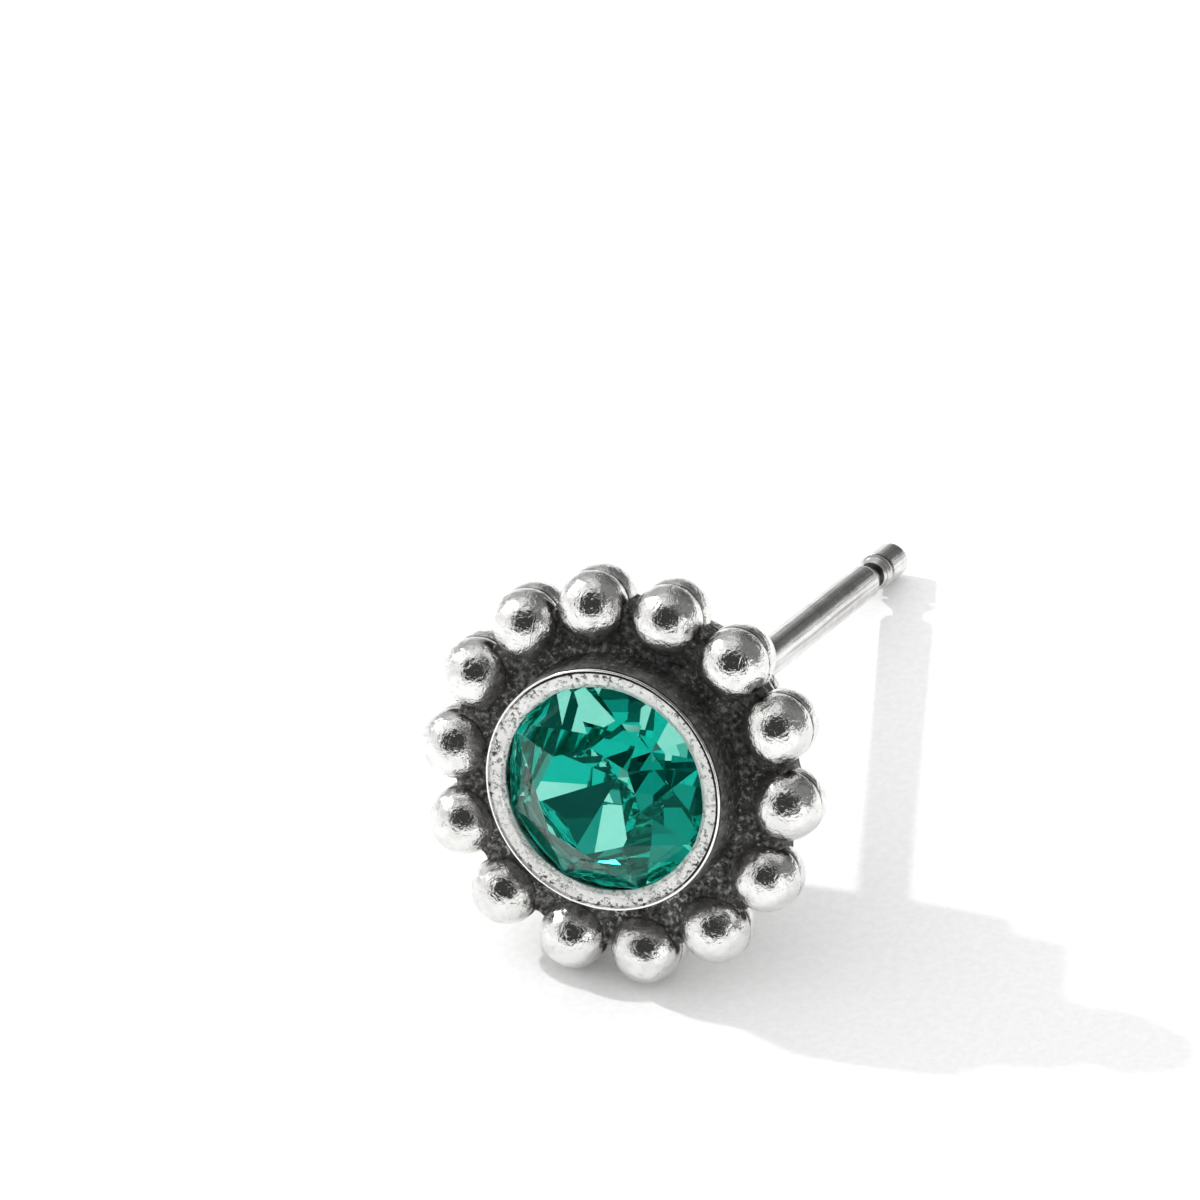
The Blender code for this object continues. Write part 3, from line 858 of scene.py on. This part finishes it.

# %% [markdown]
# ** Blackened silver** for the plate and the bezel's wall: a dark metal with a soft sheen, fine pits, and grains rubbed lighter. It could be a dark plastic-like black, but real oxidised silver stays metallic, so its highlights keep the metal's sharpness under the grain. Near the bezel's rim it is lighter, from wear and from a painted highlight where the key falls on the wall's top. It is painted darker towards the earring's top and lighter towards its bottom, which is painted shade and painted light.

# %% Blackened silver
SOOT, ASH = (0.075, 0.074, 0.072), (0.190, 0.187, 0.180)
PIT_BLACK = (0.025, 0.024, 0.023)
RUBBED_GRAIN = (0.55, 0.545, 0.53)
WORN_AND_LIT_EDGE = (0.42, 0.415, 0.40)
blackened, shader, vector = new_finish("oxidised_silver")
skin = use_group(grain, vector, Grain_Scale=8.5, Patch_Scale=1.3)
smears = remap(noise(stretched(vector, (1.0, 1.0, 0.35)), 2.6, 5.0, 0.65, 0.5), 0.40, 0.68)
darker = mixed(smears, SOOT, ASH)
pitted = mixed(times(skin["Pits"], 0.90), darker, PIT_BLACK)
rubbed = mixed(times(skin["Bright Grains"], 0.85), pitted, RUBBED_GRAIN)
parts = parts_of(vector)
near_top = remap(parts["Z"], BEZEL_TOP - 0.60, BEZEL_TOP - 0.10)
# Lighter near the rim: wear, and a painted highlight of the key on the wall's top.
worn_and_lit = mixed(times(near_top, remap(smears, 0.0, 1.0, 0.25, 0.6)), rubbed, WORN_AND_LIT_EDGE)
# Painted shade and painted light: darker towards the top, lighter towards the bottom.
painted_light_and_shade = remap(plus(parts["Y"], times(parts["X"], 0.4)), -3.0, 3.0, 1.15, 0.62, False)
sheen = remap(skin["Bright Grains"], 0.0, 1.0, 0.56, 0.36)
feed(shader, Base_Color=mixed(1.0, worn_and_lit, painted_light_and_shade, "MULTIPLY"), Metallic=0.6, Roughness=sheen)
bump(shader, skin["Height"], 1.0, 0.040)
print("material", blackened.name)

# %% [markdown]
# ** Satin silver** for the rim. It was stippled and then rubbed, so it is bright with crowds of tiny dark pits. The outermost edge is burnished smooth: a mask by radius turns the stipple off there. Black in the fine groove beside it is tarnish and painted shade, painted strongest on the upper right, where the groove lies in shade.

# %% Satin silver
SATIN, SATIN_BRIGHT = (0.95, 0.945, 0.925), (0.99, 0.985, 0.97)
SPECK = (0.10, 0.097, 0.090)
GROOVE_BLACK = (0.05, 0.048, 0.046)
satin, shader, vector = new_finish("satin_silver")
skin = use_group(grain, vector, Grain_Scale=10.0, Patch_Scale=1.6)
radius = radius_of(vector)
parts = parts_of(vector)
inside_edge = remap(radius, BEZEL_RADIUS - 0.035, BEZEL_RADIUS - 0.060)
near_groove = remap(radius, BEZEL_RADIUS - 0.30, BEZEL_RADIUS - 0.08, 0.65, 1.8)
groove_line = band(
    radius, BEZEL_RADIUS - 0.118, BEZEL_RADIUS - 0.090, BEZEL_RADIUS - 0.060, BEZEL_RADIUS - 0.044
)
in_the_mouth = remap(radius, MOUTH_RADIUS + 0.030, MOUTH_RADIUS + 0.004)
# Painted shade: the groove's black is strongest on the upper right, where the groove lies in shade.
painted_shade_upper_right = remap(plus(parts["X"], parts["Y"]), -1.5, 2.0, 0.25, 1.1)
specks = times(times(skin["Pits"], inside_edge), near_groove)
stippled = mixed(specks, mixed(skin["Bright Grains"], SATIN, SATIN_BRIGHT), SPECK)
black_places = larger(times(groove_line, painted_shade_upper_right), times(in_the_mouth, 0.25))
darkened = use_group(tarnish_and_shade, vector, Recess=black_places, Clean_Colour=stippled, Black_Colour=GROOVE_BLACK)
dull = times(inside_edge, remap(skin["Bright Grains"], 0.0, 1.0, 0.34, 0.22))
feed(shader, Base_Color=darkened["Colour"], Metallic=1.0, Roughness=plus(dull, 0.12))
bump(shader, times(skin["Height"], inside_edge), 1.0, 0.030)
print("material", satin.name)

# %% [markdown]
# **Drawn silver** for the post. A draw plate leaves straight lines along a wire, so the noise is
# stretched a hundredfold along the axis. The notch was turned, so there the lines run round it,
# which a second noise gives that changes only along the axis. The heights are counted from the
# post's tip.

# %% Drawn silver
WIRE_BRIGHT, WIRE_WIPED = (0.82, 0.815, 0.80), (0.46, 0.455, 0.44)
LINE_GREY = (0.26, 0.255, 0.245)
NOTCH_BLACK = (0.05, 0.05, 0.048)
drawn, shader, vector = new_finish("drawn_silver")
height = parts_of(vector)["Z"]
from_tip = [POST_TIP + step for step in (0.84, 0.90, 1.7, 1.9)]
along_lines = noise(stretched(vector, (1.0, 1.0, 0.012)), 16.0, 5.0, 0.7)
round_lines = noise(stretched(vector, (0.02, 0.02, 1.0)), 22.0, 4.0, 0.7)
lines = mixed(band(height, *from_tip), along_lines, round_lines, kind="FLOAT")
marks = use_group(polish, vector, Cloud_Scale=1.6, Hair_Scale=6.0, Hair_Amount=0.3)
wiped = mixed(times(marks["Clouds"], 0.5), WIRE_BRIGHT, WIRE_WIPED)
lined = mixed(times(remap(lines, 0.52, 0.36), 0.75), wiped, LINE_GREY)
head_groove = band(height, *[POST_TIP + step for step in (0.87, 0.90, 0.96, 0.99)])
neck_line = band(height, *[POST_TIP + step for step in (1.20, 1.26, 1.34, 1.44)], 0.8)
root = remap(height, BOSS_REAR - 0.16, BOSS_REAR - 0.02)
black_places = larger(larger(head_groove, neck_line), root)
darkened = use_group(tarnish_and_shade, vector, Recess=black_places, Clean_Colour=lined, Black_Colour=NOTCH_BLACK)
feed(shader, Base_Color=darkened["Colour"], Metallic=1.0, Roughness=remap(lines, 0.35, 0.65, 0.30, 0.16))
bump(shader, lines, 0.8, 0.008)
print("material", drawn.name)

# %% [markdown]
# **The green stone.** Its crown is clear green glass, and the facets below the girdle carry the
# mirror foil that such stones have on their back. Light goes in through the crown, bounces off
# the foil and comes out green. Some of it bounces many times first, so the scene's limit on
# bounces is raised further down. The mirror image on its outside is tinted green and kept weak,
# or the tent and the card would lie over the table as a grey veil.

# %% Glass and foil
GLASS_GREEN, DUST_GREEN = (0.006, 0.38, 0.290), (0.25, 0.70, 0.62)
MIRROR_GREEN = (0.02, 0.40, 0.33)
FOIL, FOIL_BRIGHT = (0.80, 0.95, 0.93), (0.90, 0.97, 0.96)
glass, shader, vector = new_finish("green_crystal")
dust = remap(noise(vector, 14.0, 3.0, 0.6), 0.66, 0.74)
feed(
    shader,
    Base_Color=mixed(times(dust, 0.25), GLASS_GREEN, DUST_GREEN),
    Roughness=remap(dust, 0.0, 1.0, 0.0, 0.12),
    Metallic=0.0, Transmission_Weight=1.0, IOR=1.60, Specular_Tint=MIRROR_GREEN,
)
foil, shader, vector = new_finish("stone_foil")
crinkle = noise(vector, 3.0, 3.0, 0.6)
feed(
    shader,
    Base_Color=mixed(remap(crinkle, 0.35, 0.65), FOIL, FOIL_BRIGHT),
    Roughness=remap(crinkle, 0.3, 0.7, 0.0, 0.012),
    Metallic=1.0,
)
print("materials", glass.name, foil.name)

# %% [markdown]
# ** Dressing the pieces.** Each piece gets its finish, and the solids that it stands for are hidden. The stone has two materials, so its faces are sorted by their height along the axis: all that lies below the crown is foiled.

# %% Dress the pieces
for piece, finish, slot, nodes in (
    (beads, bead_silver, "polished_silver", ["bead_halo"]),
    (plate, blackened, "oxidised_silver", ["bead_halo"]),
    (rim, satin, "satin_silver", ["bezel_cup"]),
    (wall, blackened, "oxidised_silver", ["bezel_cup"]),
    (stone, glass, "green_crystal", ["crystal"]),
    (drum, drum_silver, "polished_silver", ["back_drum"]),
    (wire, drawn, "drawn_silver", ["ear_post"]),
):
    piece.data.materials.append(finish)
    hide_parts(*nodes)
stone.data.materials.append(foil)
face_middles = np.array([face.center for face in stone.data.polygons])
stone_foil = (face_middles - HOME) @ face_way / MM < skirt_low - 0.01
stone.data.polygons.foreach_set("material_index", stone_foil.astype(np.int32))
print("foil on", int(stone_foil.sum()), "faces of the stone")

# %% [markdown]
# ## The table
# The earring lies on white card, one large square. Its fibres are a fine noise in real metres.

# %% White card
FLOOR_REACH = 3.0
floor_mesh = bpy.data.meshes.new("white_card")
floor_corners = [(x * FLOOR_REACH, y * FLOOR_REACH, 0.0) for x, y in ((-1, -1), (1, -1), (1, 1), (-1, 1))]
floor_mesh.from_pydata(floor_corners, [], [(0, 1, 2, 3)])
floor = bpy.data.objects.new("white_card", floor_mesh)
bpy.context.scene.collection.objects.link(floor)
card = bpy.data.materials.new("card_paper")
card.use_nodes = True
nodes = card.node_tree.nodes
fibres = noise(nodes.new("ShaderNodeTexCoord").outputs["Object"], 5200.0, 3.0, 0.8)
paper = mixed(remap(fibres, 0.3, 0.7), (0.86, 0.86, 0.86), (0.92, 0.92, 0.92))
feed(nodes["Principled BSDF"], Base_Color=paper, Roughness=0.9, Specular_IOR_Level=0.1)
floor_mesh.materials.append(card)
print("card", 2 * FLOOR_REACH, "m across")

# %% [markdown]
# ## The light
# The photograph's shadow falls to the right and towards the camera, so the sun-like key stands
# to the left, 38 degrees up. For each unit of height the shadow reaches these two lengths.

# %% The key light
SHADOW_RIGHT = 1.10
SHADOW_NEAR = 0.631
KEY_STRENGTH = 1.6
KEY_WIDTH = 2.5
level_ahead = Vector((-math.sin(AZIMUTH), math.cos(AZIMUTH), 0.0))
to_key = (-SHADOW_RIGHT * level_right + SHADOW_NEAR * level_ahead + Vector((0, 0, 1))).normalized()
key_data = bpy.data.lights.new("key", "SUN")
key_data.energy = KEY_STRENGTH
key_data.angle = math.radians(KEY_WIDTH)
key = bpy.data.objects.new("key", key_data)
key.rotation_mode = "QUATERNION"
key.rotation_quaternion = to_key.to_track_quat("Z", "Y")
bpy.context.scene.collection.objects.link(key)
print("key light from", [round(v, 2) for v in to_key])

# %% [markdown]
# Around it all is a tent, which is a world whose brightness depends on the direction. Screens
# and holes in it are round patches: a direction lies in one when its cosine with the patch's
# middle is large enough.

# %% Helpers for the tent
tent = bpy.data.worlds.new("white_tent")
tent.use_nodes = True
bpy.context.scene.world = tent
tent_nodes = tent.node_tree.nodes
direction = tent_nodes.new("ShaderNodeTexCoord").outputs["Generated"]
to_camera = -look


def facing(way, low, high, dim, bright):
    """Brightness by the cosine between a direction and this way: dim below low, bright above high."""
    node = beside("ShaderNodeVectorMath", direction, operation="DOT_PRODUCT")
    plug(direction, node.inputs[0])
    plug(tuple(way), node.inputs[1])
    return remap(node.outputs["Value"], low, high, dim, bright)


def round_screen(way, half_angle, blur):
    """A mask of a round screen: 1 within half_angle of this way, 0 outside, with a soft edge."""
    outer = math.cos(math.radians(half_angle + blur))
    inner = math.cos(math.radians(half_angle - blur))
    return facing(way, outer, inner, 0.0, 1.0)


def screen(under, mask, brightness):
    """The brightness under a screen, replaced where its mask is 1."""
    return mixed(mask, under, brightness, kind="FLOAT")


print("camera towards", [round(v, 2) for v in to_camera])

# %% [markdown]
# **The metals' tent** is white on the left, grey on the right and dimmer behind. The camera's
# opening is a dark round in it, seen as the dark patch in the middle of every bead, with a
# bright round beside it, and the key's own screen is brighter still.

# %% The tent that the metals mirror
WHITE_SIDE, GREY_SIDE, GREY_BEHIND = 0.98, 0.24, 0.50
KEY_SCREEN, CAMERA_HOLE, GLINT = 3.0, 0.05, 1.5
hole_way = (-0.16 * view_right + 0.04 * view_up + 0.98 * to_camera).normalized()
glint_way = (0.76 * view_right - 0.20 * view_up + 0.62 * to_camera).normalized()
sides = facing(level_right, -0.05, 0.40, WHITE_SIDE, GREY_SIDE)
behind = facing(-level_ahead, -0.85, -0.25, GREY_BEHIND, 1.0)
mirrored = times(sides, behind)
patches = ((to_key, 8, KEY_SCREEN), (hole_way, 43, CAMERA_HOLE), (glint_way, 15, GLINT))
for way, half_angle, brightness in patches:
    mirrored = screen(mirrored, round_screen(way, half_angle, 3), brightness)
print("camera's hole towards", [round(v, 2) for v in hole_way])

# %% [markdown]
# **The stone's tent** is a light that no real studio could give, for one stone and one view. A
# ray that leaves the stone sees a dimmer, patchy tent with small bright screens, which become
# the pale shards between dark facets. The screens are far stronger in red than in green and
# blue, because green glass takes nearly all red out, and the photograph's pale facets still
# hold a good deal of it.

# %% The tent that the stone sees
PINK_SCREEN = (50.0, 2.1, 2.3)
STONE_GREY, STONE_HOLE, STONE_SHADE = 0.42, 0.05, 0.09
OVER_WAY = (-0.19, -0.11, 0.97)
SHADE_WAY = (0.63, -0.39, 0.68)
LOW_WAYS = (
    (0.46, -0.88, 0.10), (0.40, -0.88, 0.27), (0.05, -0.97, 0.22), (-0.13, -0.99, 0.08), (-0.15, -0.90, 0.40),
)
low_band = facing((0.0, 0.0, 1.0), 0.18, 0.42, 1.0, 0.0)
stone_dim = screen(screen(STONE_GREY, low_band, 1.0), round_screen(to_camera, 12, 2), STONE_HOLE)
patchy = remap(noise(direction, 4.5, 1.5, 0.5), 0.46, 0.54, 0.20, 1.6)
shade = round_screen(Vector(SHADE_WAY).normalized(), 15, 2)
stone_dim = screen(times(stone_dim, patchy), shade, STONE_SHADE)
over_screen = round_screen(Vector(OVER_WAY).normalized(), 12, 2)
sparkle = times(remap(noise(direction, 5.0, 2.0, 0.5), 0.55, 0.57), low_band)
stone_screens = larger(larger(over_screen, round_screen(to_key, 10, 2)), sparkle)
for low_way in LOW_WAYS:
    stone_screens = larger(stone_screens, round_screen(Vector(low_way).normalized(), 4.5, 0.5))
stone_tent = mixed(stone_screens, stone_dim, PINK_SCREEN)
print("small screens low in front:", len(LOW_WAYS))

# %% [markdown]
# **Joining them.** Light Path tells what kind of ray asks. The card and the dull part of the
# blackened silver get an even light. A clean mirror image off the outside of the glass gets a
# nearly dark tent, so that no bright veil lies over the green. The limits on bounces are raised,
# because parts of the stone near the girdle would come out black with the usual ones.

# %% One world for every kind of ray
EVEN_LIGHT = 1.08
OUTER_MIRROR = 0.06
MOST_BOUNCES = 32
STONE_BOUNCES = 24
ray = tent_nodes.new("ShaderNodeLightPath").outputs
white_tent = screen(mirrored, larger(ray["Is Diffuse Ray"], ray["Is Camera Ray"]), EVEN_LIGHT)
white_tent = screen(white_tent, times(ray["Is Singular Ray"], ray["Is Glossy Ray"]), OUTER_MIRROR)
seen_tent = mixed(ray["Is Transmission Ray"], white_tent, stone_tent)
feed(tent_nodes["Background"], Color=seen_tent, Strength=1.0)
bpy.context.scene.view_settings.view_transform = "Standard"
bpy.context.scene.cycles.max_bounces = MOST_BOUNCES
bpy.context.scene.cycles.glossy_bounces = STONE_BOUNCES
bpy.context.scene.cycles.transmission_bounces = STONE_BOUNCES
print("the tent has", len(tent_nodes), "nodes")
